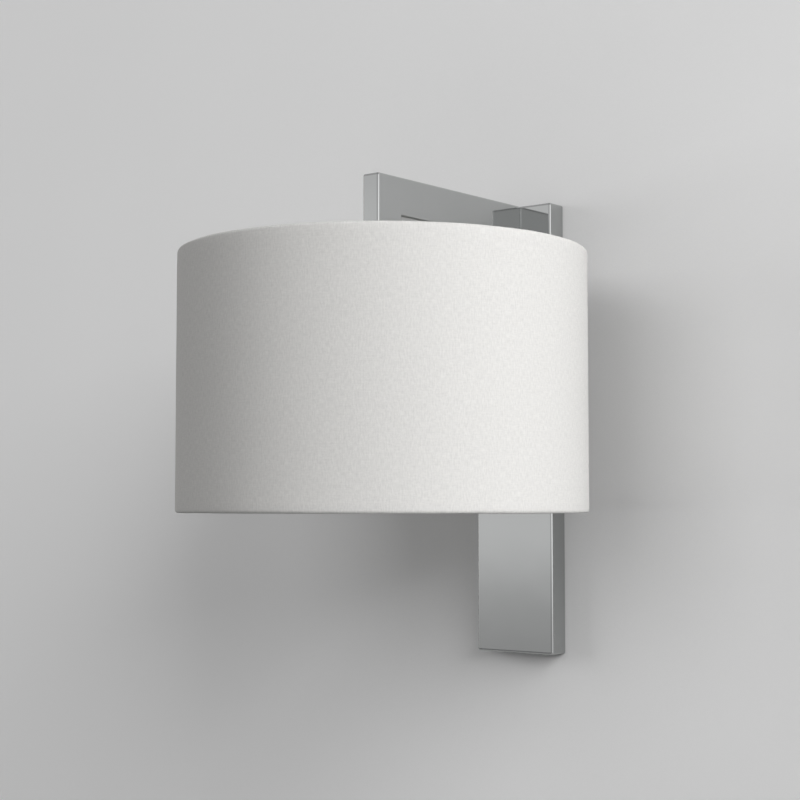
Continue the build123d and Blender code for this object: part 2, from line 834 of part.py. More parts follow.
def lamp_body():
    """Plastic body of the lamp, flared from the cap to the globe."""
    inner = lamp_collar_radius - lamp_wall
    middle_z = lamp_cap_bottom - lamp_bulge_drop
    middle_radius = lamp_bulge_radius
    outer = Line((inner, lamp_cap_bottom), (lamp_collar_radius, lamp_cap_bottom))
    outer += ThreePointArc(
        (lamp_collar_radius, lamp_cap_bottom), (middle_radius, middle_z), (lamp_waist_radius, lamp_waist)
    )
    outer += Line((lamp_waist_radius, lamp_waist), (lamp_waist_radius - lamp_wall, lamp_waist))
    outer += ThreePointArc(
        (lamp_waist_radius - lamp_wall, lamp_waist),
        (middle_radius - lamp_wall, middle_z),
        (inner, lamp_cap_bottom),
    )
    return Pos(*lamp_axis, 0) * revolve(Plane.XZ * make_face(outer), Axis.Z)


def lamp_globe():
    """Opal globe of the lamp, a thin shell open where it meets the body."""
    ball = Pos(*lamp_axis, lamp_globe_z) * (Sphere(lamp_radius) - Sphere(lamp_radius - lamp_wall))
    return ball - upright(2 * lamp_radius, lamp_waist, lamp_waist + 2 * lamp_radius)


def lamp_board():
    """Round board with the light-emitting chips, just inside the mouth of the lamp's body."""
    radius = lamp_waist_radius - lamp_wall - lamp_board_clearance
    return upright(radius, lamp_waist, lamp_waist + lamp_board_thickness)


pieces = {
    "wall_bracket": wall_bracket(),
    "cable_bush": cable_bush(),
    "terminal_block": terminal_block(),
    "terminal_screws": terminal_screws(),
    "terminal_block_screw": terminal_block_screw(),
    "earth_screws": earth_screws(),
    "earth_tags": earth_tags(),
    "earth_wire": earth_wire(),
    "bonding_wire": bonding_wire(),
    "live_wire": supply_wire(-1),
    "neutral_wire": supply_wire(1),
    "wire_clip": wire_clip(),
    "cover": cover(),
    "stiffener": stiffener(),
    "cover_screws": cover_screws(),
    "arm": arm(),
    "arm_end_block": arm_end_block(),
    "arm_screws": arm_screws(),
    "post_end_plug": post_end_plug(),
    "hollow_stud": hollow_stud(),
    "lock_nuts": lock_nuts(),
    "holder_cap": holder_cap(),
    "holder_sleeve": holder_sleeve(),
    "holder_insulator": holder_insulator(),
    "holder_shell": holder_shell(),
    "holder_contact": holder_contact(),
    "holder_terminals": holder_terminals(),
    "clamp_washer": clamp_washer(),
    "clamp_ring": clamp_ring(),
    "shade_carrier": shade_carrier(),
    "shade_top_ring": shade_ring(top_ring_z),
    "shade_bottom_ring": shade_ring(bottom_ring_z),
    "shade_liner": shade_liner(),
    "shade_fabric": shade_fabric(),
    "lamp_contact": lamp_contact(),
    "lamp_glass": lamp_glass(),
    "lamp_cap": lamp_cap(),
    "lamp_body": lamp_body(),
    "lamp_board": lamp_board(),
    "lamp_globe": lamp_globe(),
}

os.makedirs("parts", exist_ok=True)
for name, piece in pieces.items():
    export_step(piece, os.path.join("parts", name + ".step"))
    print(name, round(piece.volume, 2))
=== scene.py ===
# %% [markdown]
# # Fabric shade wall light
# A slim polished wall plate carries a flat tube arm. The arm runs out from the top of the plate, turns
# down, and holds a lampholder with a round linen shade and a lamp.
# The hard parts come ready made and full size, in metres, with the wall at y = 0 and the room at -y.
# This script gives every part its finish, makes the cloth of the shade and the cut threads, and sets up
# a plain studio round it. Nothing here moves or resizes a ready-made part.

import json
import math

import bmesh
import bpy
from mathutils import Matrix, Vector, noise

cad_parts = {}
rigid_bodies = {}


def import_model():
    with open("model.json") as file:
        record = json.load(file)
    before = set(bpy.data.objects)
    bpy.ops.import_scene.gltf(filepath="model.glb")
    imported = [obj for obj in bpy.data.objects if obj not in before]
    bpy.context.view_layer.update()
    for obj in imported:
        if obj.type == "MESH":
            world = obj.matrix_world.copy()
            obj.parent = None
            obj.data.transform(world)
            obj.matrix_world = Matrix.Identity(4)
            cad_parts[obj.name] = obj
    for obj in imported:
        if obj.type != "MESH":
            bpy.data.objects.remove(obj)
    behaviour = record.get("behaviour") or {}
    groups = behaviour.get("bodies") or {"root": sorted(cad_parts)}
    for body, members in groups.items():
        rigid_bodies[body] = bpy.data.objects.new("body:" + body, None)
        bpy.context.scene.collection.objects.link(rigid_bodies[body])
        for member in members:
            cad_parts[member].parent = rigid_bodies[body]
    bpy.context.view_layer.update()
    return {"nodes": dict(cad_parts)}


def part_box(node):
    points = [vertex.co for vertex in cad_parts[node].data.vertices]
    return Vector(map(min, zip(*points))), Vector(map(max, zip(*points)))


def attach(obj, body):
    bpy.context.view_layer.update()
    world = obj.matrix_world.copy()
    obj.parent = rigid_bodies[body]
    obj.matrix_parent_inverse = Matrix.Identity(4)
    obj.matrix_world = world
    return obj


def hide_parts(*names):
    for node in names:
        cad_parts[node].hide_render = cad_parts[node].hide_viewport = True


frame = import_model()
parts = frame["nodes"]

# %% [markdown]
# ## Camera
# A photograph can be matched only from its own viewpoint, so the camera comes first. The light was
# photographed from the right and a little below, with a 75 mm lens: that long a lens keeps the drum from
# looking bent. The camera turns left by 38.7 degrees and looks up by 3.6, so plate, arm and drum all
# show one side. There is no shift and no blur, so the same camera also serves for every other view.

# %% Place the camera
camera_data = bpy.data.cameras.new("camera")
camera_data.lens = 75
camera_data.sensor_width = 36
camera = bpy.data.objects.new("camera", camera_data)
bpy.context.scene.collection.objects.link(camera)
camera.location = (0.6440, -0.9402, -0.0524)
camera.rotation_euler = (math.radians(93.635), 0, math.radians(38.743))
bpy.context.scene.camera = camera
print("camera at", tuple(round(x, 3) for x in camera.location))

# %% [markdown]
# ## How the finishes are made
# A finish is a small network of nodes that ends in one Principled shader. Real surfaces are never one
# flat colour, so each network starts from noise in Object coordinates, which stay put on the part as it
# moves and need no unwrapping. The noise bends three things: the colour between two close tones, the
# roughness, and the height of the surface. What is the same all over goes straight on the shader.


# %% A new finish, and noise to vary it
def new_finish(name, **constants):
    """An empty finish with one Principled shader, and its constant settings."""
    material = bpy.data.materials.new(name)
    material.use_nodes = True
    shader = material.node_tree.nodes["Principled BSDF"]
    for socket, value in constants.items():
        shader.inputs[socket.replace("_", " ").title().replace("Ior", "IOR")].default_value = value
    return material, shader


def add(material, kind, **settings):
    """One more node in a finish."""
    node = material.node_tree.nodes.new("ShaderNode" + kind)
    for key, value in settings.items():
        setattr(node, key, value)
    return node


def join(material, start, end):
    """Joins an output to an input."""
    material.node_tree.links.new(end, start)


def stretched(material, coordinates, stretch):
    """The same coordinates, stretched along each axis."""
    mapping = add(material, "Mapping")
    mapping.inputs["Scale"].default_value = stretch
    join(material, coordinates, mapping.inputs["Vector"])
    return mapping.outputs["Vector"]


def place(material, stretch=(1, 1, 1)):
    """Object coordinates, stretched along each axis."""
    return stretched(material, add(material, "TexCoord").outputs["Object"], stretch)


def grain(material, where, scale, detail=3):
    """Soft random noise from 0 to 1, with so many waves to the metre."""
    texture = add(material, "TexNoise")
    texture.inputs["Scale"].default_value = scale
    texture.inputs["Detail"].default_value = detail
    join(material, where, texture.inputs["Vector"])
    return texture.outputs["Fac"]


def ramp(material, value, stops):
    """Turns a value from 0 to 1 into colours."""
    node = add(material, "ValToRGB")
    band = node.color_ramp
    while len(band.elements) < len(stops):
        band.elements.new(0.5)
    for element, (position, colour) in zip(band.elements, stops):
        element.position = position
        element.color = (*colour, 1)
    join(material, value, node.inputs["Fac"])
    return node.outputs["Color"]


noise_low, noise_high = 0.3, 0.7


def spread(material, value, low, high):
    """Stretches noise, which mostly lies in the middle of its range, from low to high."""
    node = add(material, "MapRange")
    node.inputs["From Min"].default_value = noise_low
    node.inputs["From Max"].default_value = noise_high
    node.inputs["To Min"].default_value = low
    node.inputs["To Max"].default_value = high
    join(material, value, node.inputs["Value"])
    return node.outputs["Result"]


def relief(material, shader, height, depth):
    """Uses a height from 0 to 1 as relief that deep, in metres."""
    node = add(material, "Bump")
    node.inputs["Distance"].default_value = depth
    join(material, height, node.inputs["Height"])
    join(material, node.outputs["Normal"], shader.inputs["Normal"])


def mottle(material, shader, where, scale, tones, rough):
    """Two close tones and a range of roughness, both from one noise."""
    value = grain(material, where, scale)
    stops = [(noise_low, tones[0]), (noise_high, tones[1])]
    join(material, ramp(material, value, stops), shader.inputs["Base Color"])
    join(material, spread(material, value, *rough), shader.inputs["Roughness"])


def wear(names, material):
    """Puts a finish on ready-made parts."""
    for name in names:
        slots = parts[name].data.materials
        slots.clear()
        slots.append(material)
    print(material.name, "on", ", ".join(names))


# %% [markdown]
# ## Polished chrome: wall plate, arm and the plug under it
# Chrome is a mirror that gives back a little over half of the light, with a hint of blue-green. What
# makes it look like plated steel, and not like computer glass, is that the polished steel beneath is
# not quite flat: long, very shallow waves bend the reflections. A faint film of handling dulls it in
# patches. So the colour hardly changes here, and the work is in roughness and in relief.

# %% Polished chrome
film_patches = 22
shallow_waves, wave_depth = 30, 0.00004
chrome, shader = new_finish("polished chrome", metallic=1.0)
where = place(chrome)
mottle(chrome, shader, where, film_patches, [(0.485, 0.495, 0.492), (0.505, 0.513, 0.512)], (0.045, 0.075))
relief(chrome, shader, grain(chrome, where, shallow_waves, 1), wave_depth)
wear(["cover", "arm", "post_end_plug"], chrome)

# %% [markdown]
# ## Plated steel, brass and nickel: the hidden metal
# The bracket, stiffener, screws, nuts and stud are bright zinc over steel. Zinc is satin, with cloudy
# patches, and a fine drawn grain. The set screws are blackened. Terminals are brass, the ring tags are
# tinned, and the lamp's cap and the socket's shell are nickel. One function serves them all, since they
# differ only in tone, roughness and the direction of the grain.


# %% Metals that are not polished
cloudiness, drawn_grain = 90, 2400


def satin_metal(name, dark, light, rough, stretch=(1, 1, 1), depth=0.00001):
    """A satin metal with cloudy tone and a fine grain, long where stretch is small."""
    material, shader = new_finish(name, metallic=1.0)
    mottle(material, shader, place(material), cloudiness, [dark, light], rough)
    relief(material, shader, grain(material, place(material, stretch), drawn_grain, 2), depth)
    return material


zinc = satin_metal("bright zinc", (0.50, 0.52, 0.54), (0.62, 0.63, 0.64), (0.28, 0.42), (1, 1, 0.06))
blackened = satin_metal("blackened steel", (0.045, 0.045, 0.05), (0.09, 0.09, 0.095), (0.35, 0.5))
brass = satin_metal("brass", (0.60, 0.42, 0.15), (0.72, 0.52, 0.22), (0.2, 0.32), (0.06, 1, 1))
tinned = satin_metal("tinned brass", (0.58, 0.56, 0.50), (0.66, 0.64, 0.59), (0.25, 0.4))
nickel = satin_metal("nickel", (0.60, 0.57, 0.52), (0.68, 0.65, 0.60), (0.16, 0.28), (0.1, 0.1, 1))
wear(
    [
        "wall_bracket", "stiffener", "terminal_screws", "terminal_block_screw", "arm_end_block",
        "arm_screws", "hollow_stud", "lock_nuts",
    ],
    zinc,
)
wear(["cover_screws"], blackened)
wear(["earth_screws", "holder_contact", "holder_terminals"], brass)
wear(["earth_tags", "lamp_contact"], tinned)
wear(["lamp_cap", "holder_shell"], nickel)

# %% [markdown]
# ## Plastics, rubber and ceramic
# Moulded plastic has a soft gloss and a shallow unevenness from the mould. Nylon is duller and creamier
# than the holder's glossy white. Rubber is near black and matte, with a grain that can be felt. Unglazed
# ceramic is chalky with tiny pits. They share one function again: tone, roughness, size and depth of grain.


# %% Moulded and fired finishes
unevenness = 70


def moulded(name, dark, light, rough, size, depth, **constants):
    """A finish with two close tones and an even grain of so many bumps to the metre."""
    material, shader = new_finish(name, **constants)
    mottle(material, shader, place(material), unevenness, [dark, light], rough)
    relief(material, shader, grain(material, place(material), size, 3), depth)
    return material


rubber = moulded("black rubber", (0.018, 0.018, 0.018), (0.032, 0.032, 0.031), (0.62, 0.8), 1500, 0.00005)
nylon = moulded("white nylon", (0.72, 0.70, 0.64), (0.80, 0.78, 0.73), (0.42, 0.55), 900, 0.00002)
holder_white = moulded("holder plastic", (0.76, 0.755, 0.73), (0.81, 0.805, 0.785), (0.2, 0.3), 500, 0.00002)
ceramic = moulded("ceramic", (0.74, 0.72, 0.68), (0.82, 0.80, 0.77), (0.6, 0.75), 2200, 0.00006)
coated = moulded("coated wire", (0.78, 0.78, 0.76), (0.83, 0.83, 0.815), (0.3, 0.42), 900, 0.00004)
lamp_white = moulded("lamp plastic", (0.80, 0.80, 0.79), (0.85, 0.85, 0.84), (0.3, 0.4), 600, 0.00002)
black_glass = moulded("black glass", (0.012, 0.012, 0.016), (0.022, 0.022, 0.028), (0.06, 0.14), 300, 0.00003)
wear(["cable_bush"], rubber)
wear(["terminal_block", "wire_clip"], nylon)
wear(["holder_cap", "holder_sleeve", "clamp_washer", "clamp_ring"], holder_white)
wear(["holder_insulator"], ceramic)
wear(["shade_carrier", "shade_top_ring", "shade_bottom_ring"], coated)
wear(["lamp_body"], lamp_white)
wear(["lamp_glass"], black_glass)

# %% [markdown]
# ## Opal globe, liner and lamp board
# The globe is milky plastic: light sinks in a little and comes out again, so its shadows are soft. The
# liner is a thin satin sheet glued behind the linen. Some light scatters inside both; the globe's shader
# does that with its subsurface setting, with a short reach, and the liner's has none. The board is white
# lacquer over aluminium.

# %% Finishes that let light in
opal = moulded(
    "opal globe", (0.86, 0.86, 0.845), (0.89, 0.89, 0.875), (0.26, 0.36), 400, 0.00002,
    subsurface_weight=0.35, subsurface_radius=(1, 1, 1), subsurface_scale=0.004,
)
liner_white = moulded("satin liner", (0.80, 0.80, 0.785), (0.84, 0.84, 0.825), (0.4, 0.5), 1200, 0.00001)
board_white = moulded("board lacquer", (0.78, 0.78, 0.77), (0.83, 0.83, 0.82), (0.35, 0.45), 800, 0.00001)
wear(["lamp_globe"], opal)
wear(["shade_liner"], liner_white)
wear(["lamp_board"], board_white)

# %% [markdown]
# ## Wire insulation
# The live wire is brown, the neutral blue, and both earth wires green with a yellow stripe. A stripe
# runs along the wire, so it comes from one coordinate, across the wires, in bands a few millimetres wide.


# %% Plain and striped insulation
def insulation(name, dark, light):
    """Soft plastic of one colour round a wire."""
    return moulded(name, dark, light, (0.38, 0.5), 1300, 0.00002)


brown = insulation("brown insulation", (0.060, 0.024, 0.010), (0.082, 0.034, 0.015))
blue = insulation("blue insulation", (0.012, 0.060, 0.24), (0.020, 0.078, 0.29))
stripe_scale = 70
striped, shader = new_finish("green and yellow insulation", roughness=0.44)
wave = add(striped, "TexWave", wave_type="BANDS", bands_direction="X")
wave.inputs["Scale"].default_value = stripe_scale
wave.inputs["Distortion"].default_value = 0.4
join(striped, place(striped), wave.inputs["Vector"])
green_yellow = ramp(striped, wave.outputs["Fac"], [(0.48, (0.045, 0.22, 0.035)), (0.52, (0.62, 0.52, 0.03))])
join(striped, green_yellow, shader.inputs["Base Color"])
relief(striped, shader, grain(striped, place(striped), 1300, 2), 0.00002)
wear(["live_wire"], brown)
wear(["neutral_wire"], blue)
wear(["earth_wire", "bonding_wire"], striped)

# %% [markdown]
# ## The shade's cloth
# The drum is one strip of linen, glued round a stiff liner. At the top and at the bottom it is rolled
# over a wire ring and its edge is tucked in as a narrow hem. The two ends of the strip meet at the
# back, towards the wall, where one is lapped over the other.
# The real strip is made in that order, and so is this one: first the way that the cloth takes over both
# rings, as one line of edges, and then that line is spun round the lamp's axis, a little more than a full
# turn, so that the end lies over the start. The thickness comes last, from a modifier.

# %% Sizes of the cloth, read from the ready-made drum
low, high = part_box("shade_fabric")
ring_low, ring_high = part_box("shade_top_ring")
axis = Vector(((low.x + high.x) / 2, (low.y + high.y) / 2, 0))
cloth = 0.0005
drum_radius = (high.x - low.x) / 2
ring_middle = (ring_high.x - ring_low.x) / 2 - (ring_high.z - ring_low.z) / 2
top_ring = (ring_low.z + ring_high.z) / 2
roll_outside = high.z - top_ring
roll = roll_outside - cloth / 2
roll_middle = drum_radius - roll_outside
bottom_ring = low.z + roll_outside
hem = 0.008
lap = 0.012
steps_in_hem, steps_round_ring, steps_up_drum = 4, 10, 40
print("drum radius %.2f mm, roll radius %.2f mm" % (drum_radius * 1000, roll_outside * 1000))


# %% Lead the cloth over both rings
def of_kind(kind, things):
    """Only the points, or only the edges, among what an operator made."""
    return [thing for thing in things if isinstance(thing, kind)]


def run_on(mesh, tip, move, steps):
    """Leads the line on from its tip in a straight run of equal steps."""
    for _ in range(steps):
        made = bmesh.ops.extrude_vert_indiv(mesh, verts=[tip])
        tip = made["verts"][0]
        bmesh.ops.translate(mesh, verts=[tip], vec=Vector(move) / steps)
    return tip


def roll_over(mesh, tip, ring_height):
    """Leads the line half way round a ring."""
    middle = axis + Vector((roll_middle, 0, ring_height))
    made = bmesh.ops.spin(
        mesh, geom=[tip], cent=middle, axis=(0, 1, 0), angle=math.pi, steps=steps_round_ring,
        use_duplicate=False,
    )
    return of_kind(bmesh.types.BMVert, made["geom_last"])[0]


strip = bmesh.new()
way = strip.verts.layers.float.new("way")
tip = strip.verts.new(axis + Vector((roll_middle - roll, 0, top_ring - hem)))
tip = run_on(strip, tip, (0, 0, hem), steps_in_hem)
tip = roll_over(strip, tip, top_ring)
tip = run_on(strip, tip, (0, 0, bottom_ring - top_ring), steps_up_drum)
tip = roll_over(strip, tip, bottom_ring)
tip = run_on(strip, tip, (0, 0, hem), steps_in_hem)
strip.verts.ensure_lookup_table()
walked = 0.0
for before, after in zip(strip.verts, strip.verts[1:]):
    walked += (after.co - before.co).length
    after[way] = walked
print("the cloth is %.1f mm from hem to hem, in %d points" % (walked * 1000, len(strip.verts)))


# %% [markdown]
# The line is turned round the lamp's axis one narrow step at a time. Each new line of points is told how
# far round it has come, because at the lap two points share one direction and only that tells them
# apart. Over the lap the cloth rises by its own thickness, away from the middle of the roll, so it
# also goes over and under the first layer at the rings.

# %% Turn the line into the drum
around = strip.verts.layers.float.new("around")
whole_turn = 2 * math.pi + lap / drum_radius
steps = 244
to_the_wall = Matrix.Rotation(math.radians(90), 3, "Z")
bmesh.ops.rotate(strip, verts=strip.verts, cent=axis, matrix=to_the_wall)
line = list(strip.verts) + list(strip.edges)
for step in range(1, steps + 1):
    made = bmesh.ops.spin(
        strip, geom=line, cent=axis, axis=(0, 0, 1), angle=whole_turn / steps, steps=1, use_duplicate=False
    )
    line = made["geom_last"]
    for point in of_kind(bmesh.types.BMVert, line):
        point[around] = step * whole_turn / steps
print(len(strip.verts), "points,", len(strip.faces), "faces")


# %% Lap the end over the start, and let the roll wander a little
def away_from_roll(point):
    """The direction out of the roll's middle, which is a straight line seen in section."""
    out = Vector((point.x - axis.x, point.y - axis.y, 0)).normalized()
    middle = axis + out * roll_middle
    middle.z = min(max(point.z, bottom_ring), top_ring)
    return (point - middle).normalized()


def eased(value):
    """Goes gently from 0 to 1."""
    value = min(max(value, 0.0), 1.0)
    return value * value * (3 - 2 * value)


rise_over = math.radians(4)
air_between = 0.00004
layer = cloth + air_between
wander_depth, wander_waves, wander_reach = 0.00016, 45, 0.012
for point in strip.verts:
    lift = layer * eased((point[around] - 2 * math.pi + rise_over) / rise_over)
    from_ring = min(abs(point.co.z - top_ring), abs(point.co.z - bottom_ring))
    near_ring = max(0.0, 1 - from_ring / wander_reach)
    wander = wander_depth * near_ring * noise.noise(point.co * wander_waves) * (1 - lift / layer)
    point.co += away_from_roll(point.co) * (lift + wander)
print("lapped", round(lap * 1000), "mm, raised", round(layer * 1000, 2), "mm")

# %% [markdown]
# The carrier that hangs the drum on the lampholder is welded to the top ring by three wires. The hem
# would have to pass through them, so on the real drum it is snipped there. Here the same three notches
# are cut by deleting the faces of the hem that lie within them.

# %% Snip the hem at the three carrier wires
notch = 0.0021
notch_depth = hem + 0.002
wire_angles = [math.radians(degrees) for degrees in (-90, 30, 150)]
carrier_wires = [Vector((math.cos(angle), math.sin(angle), 0)) for angle in wire_angles]
snipped = []
for face in strip.faces:
    middle = face.calc_center_median()
    from_start = sum(v[way] for v in face.verts) / 4
    out = middle - axis
    for wire in carrier_wires:
        beside = abs(out.x * wire.y - out.y * wire.x)
        if from_start < notch_depth and out.dot(wire) > 0 and beside < notch:
            snipped.append(face)
bmesh.ops.delete(strip, geom=snipped, context="FACES")
print("snipped", len(snipped), "faces")

# %% [markdown]
# The weave has to follow the cloth round the drum and over the rings, which Object coordinates can't do.
# So the strip gets an unwrapping that is its own flat cut, in metres: how far round and how far along.

# %% Unwrap the strip as it was cut, and make the piece
unwrapping = strip.loops.layers.uv.new("cut")
for face in strip.faces:
    for corner in face.loops:
        corner[unwrapping].uv = (corner.vert[around] * drum_radius, corner.vert[way])
bmesh.ops.recalc_face_normals(strip, faces=strip.faces)
outer_face = max(strip.faces, key=lambda f: (f.calc_center_median() - axis).xy.length)
if outer_face.normal.dot((outer_face.calc_center_median() - axis)) < 0:
    bmesh.ops.reverse_faces(strip, faces=strip.faces)


def as_piece(mesh, name, material, body):
    """Turns a finished bmesh into a smooth piece that rides on a body."""
    data = bpy.data.meshes.new(name)
    mesh.to_mesh(data)
    mesh.free()
    data.materials.append(material)
    data.polygons.foreach_set("use_smooth", [True] * len(data.polygons))
    piece = bpy.data.objects.new(name, data)
    bpy.context.scene.collection.objects.link(piece)
    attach(piece, body)
    return piece


linen, linen_shader = new_finish("white linen", roughness=0.9, specular_ior_level=0.3)
shade_cloth = as_piece(strip, "shade_cloth", linen, "shade")
thickness = shade_cloth.modifiers.new("thickness", "SOLIDIFY")
thickness.thickness = cloth
thickness.offset = 0
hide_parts("shade_fabric")

# %% [markdown]
# ## Linen
# Fine linen is a plain weave: each thread goes over one and under the next, about 22 threads to the
# centimetre. Flax is uneven, so here and there a thread is thicker, a slub, and shows as a short pale
# or dark streak along its own direction. Two stretched noises give the slubs, the upright ones
# stronger, and two sine waves multiplied give the little pillows of the weave. A third noise pushes the
# pillows about, since no thread lies quite straight. From a step away the weave itself is too fine to
# see, and the slubs carry the look.

# %% Arithmetic in a finish
def sum_up(material, operation, first, second):
    """One arithmetic step with two sockets or numbers."""
    node = add(material, "Math", operation=operation)
    for socket, value in zip(node.inputs, (first, second)):
        if isinstance(value, (int, float)):
            socket.default_value = value
        else:
            join(material, value, socket)
    return node.outputs["Value"]


def blended(material, first, second, share):
    """A weighted sum of two values, with a share of the first."""
    weighted = sum_up(material, "MULTIPLY", first, share)
    return sum_up(material, "ADD", weighted, sum_up(material, "MULTIPLY", second, 1 - share))


# %% Slubs
slubs_across, slubs_along = 1150, 300
upright_share = 0.62
flat = add(linen, "UVMap", uv_map="cut").outputs["UV"]
upright_slubs = grain(linen, stretched(linen, flat, (slubs_across, slubs_along, 1)), 1)
level_slubs = grain(linen, stretched(linen, flat, (slubs_along, slubs_across, 1)), 1)
slubs = blended(linen, upright_slubs, level_slubs, upright_share)
linen_tone = ramp(linen, slubs, [(0.34, (0.655, 0.648, 0.634)), (0.66, (0.755, 0.747, 0.729))])
join(linen, linen_tone, linen_shader.inputs["Base Color"])
print("slubs", round(1000 / slubs_along, 1), "mm long and", round(1000 / slubs_across, 1), "mm wide")

# %% Weave
thread = 0.00045
push_waves, push_by = 420, 2.5 * thread
pillow_share = 0.25
weave_depth = 0.00012

push = add(linen, "TexNoise")
push.inputs["Scale"].default_value = push_waves
join(linen, flat, push.inputs["Vector"])
pushed = add(linen, "VectorMath", operation="MULTIPLY_ADD")
join(linen, push.outputs["Color"], pushed.inputs[0])
pushed.inputs[1].default_value = [push_by] * 3
join(linen, flat, pushed.inputs[2])
separate = add(linen, "SeparateXYZ")
join(linen, pushed.outputs["Vector"], separate.inputs["Vector"])
across = sum_up(linen, "SINE", sum_up(linen, "MULTIPLY", separate.outputs["X"], math.pi / thread), 0)
along = sum_up(linen, "SINE", sum_up(linen, "MULTIPLY", separate.outputs["Y"], math.pi / thread), 0)
pillows = sum_up(linen, "ABSOLUTE", sum_up(linen, "MULTIPLY", across, along), 0)
relief(linen, linen_shader, blended(linen, pillows, slubs, pillow_share), weave_depth)
print("linen with", round(0.01 / thread), "threads to the centimetre")

# %% [markdown]
# ## Cut threads
# The clamp ring runs on a coarse thread on the lampholder's skirt, and the lamp's cap is rolled into a
# deep round thread. The ready-made sleeve and cap are plain there, so both are turned again with their
# threads. A part that comes off a lathe is an outline, spun once round the axis. A thread is a small
# section, spun many times round with a little rise at each step, which fades into the wall at both ends.


# %% Turn a part
turning_steps = 96
merge_within = 0.000001


def at(radius, height):
    """A point beside the lamp's axis, from millimetres."""
    return axis + Vector((radius, 0, height)) / 1000


def turn_part(outline):
    """Spins an outline of radius and height, in millimetres, once round the lamp's axis."""
    mesh = bmesh.new()
    points = [mesh.verts.new(at(*corner)) for corner in outline]
    for (radius, _), first, second in zip(outline, points, points[1:] + points[:1]):
        if radius > 0 or first is points[0]:
            mesh.edges.new((first, second))
    bmesh.ops.spin(
        mesh, geom=mesh.verts[:] + mesh.edges[:], cent=axis, axis=(0, 0, 1), angle=2 * math.pi,
        steps=turning_steps, use_merge=True,
    )
    bmesh.ops.remove_doubles(mesh, verts=mesh.verts, dist=merge_within)
    return mesh


# %% Wind a thread on a part
thread_steps = 60
fade_steps = thread_steps / 4


def wind(mesh, section, start, turns, lead):
    """Winds a section up the part, all in millimetres, and fades its ends into the wall."""
    points = [mesh.verts.new(at(radius, start + height)) for radius, height in section]
    edges = [mesh.edges.new(pair) for pair in zip(points, points[1:] + points[:1])]
    ends = [edges]
    rings = [points]
    ring = points + edges
    for _ in range(round(turns * thread_steps)):
        made = bmesh.ops.spin(
            mesh, geom=ring, cent=axis, axis=(0, 0, 1), dvec=(0, 0, lead / 1000 / thread_steps),
            angle=2 * math.pi / thread_steps, steps=1, use_duplicate=False,
        )
        ring = made["geom_last"]
        rings.append(of_kind(bmesh.types.BMVert, ring))
    ends.append(of_kind(bmesh.types.BMEdge, ring))
    for edges in ends:
        bmesh.ops.contextual_create(mesh, geom=edges)
    root = section[0][0] / 1000
    for number, points in enumerate(rings):
        share = eased(min(number, len(rings) - 1 - number) / fade_steps)
        for point in points:
            out = Vector((point.co.x - axis.x, point.co.y - axis.y, 0))
            point.co -= out.normalized() * (out.length - root) * (1 - share)
    bmesh.ops.recalc_face_normals(mesh, faces=mesh.faces)
    print(turns, "turns of thread,", len(mesh.faces), "faces")


crisp_from = math.radians(35)


def as_turned(mesh, name, material, body, instead_of):
    """A turned part as a piece with crisp corners, in place of a ready-made one."""
    piece = as_piece(mesh, name, material, body)
    piece.data.set_sharp_from_angle(angle=crisp_from)
    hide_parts(instead_of)


# %% The lampholder's sleeve with its coarse thread
sleeve = turn_part(
    [
        (17.8, 69.5), (21.0, 69.5), (21.0, 66.0), (25.2, 66.0), (25.5, 65.7), (25.5, 63.3), (25.2, 63.0),
        (20.0, 63.0), (20.0, 60.9), (19.2, 60.4), (19.2, 37.2), (18.6, 36.5), (15.8, 36.5), (15.8, 62.0),
        (17.8, 62.0),
    ]
)
coarse_turn = [(19.15, -1.1), (20.0, -0.45), (20.0, 0.45), (19.15, 1.1)]
wind(sleeve, coarse_turn, start=38.6, turns=7, lead=3.0)
as_turned(sleeve, "threaded_sleeve", holder_white, "fitting", "holder_sleeve")

# %% The lamp's cap with its round thread
cap = turn_part(
    [
        (0, 55.2), (10.5, 55.2), (12.3, 53.4), (12.3, 38.2), (13.1, 37.4), (13.1, 34.7), (12.6, 34.7),
        (12.6, 37.0), (11.9, 37.8), (11.9, 52.8), (0, 52.8),
    ]
)
round_turn = [(12.25, -1.4), (12.6, -0.9), (12.98, -0.4), (13.1, 0), (12.98, 0.4), (12.6, 0.9), (12.25, 1.4)]
wind(cap, round_turn, start=39.8, turns=3.25, lead=3.6)
as_turned(cap, "threaded_cap", nickel, "lamp", "lamp_cap")

# %% [markdown]
# ## Wall and floor
# The light hangs on a pale wall, high over a pale floor. The wall has a hole behind the plate, and from
# behind it lets the view through, so that the back of the light can be looked at too. The floor is far
# enough down to stay below a camera that looks up at the light.
# Pale walls throw so much light back that they wash out soft shadows. In a large studio that light is
# lost, so both paints have two tones: the pale one that the camera and the chrome see, and a darker one
# for the light that they pass on. An Ambient Occlusion node darkens the pale one where something stands
# close in front of it: a soft contact shadow round the plate and the drum, painted into the paint's colour.


# %% A paint with two tones
# How far the painted contact shadow reaches from what stands in front of the paint, and how dark it gets.
painted_shadow_reach = 0.35
painted_shadow_depth = 0.36
paint_patches = 6


def looked_at(material, ray):
    """1 for what the camera, a mirror or glass looks at, and 0 for light that is passed on."""
    seen = sum_up(material, "MAXIMUM", ray.outputs["Is Camera Ray"], ray.outputs["Is Glossy Ray"])
    return sum_up(material, "MAXIMUM", seen, ray.outputs["Is Transmission Ray"])


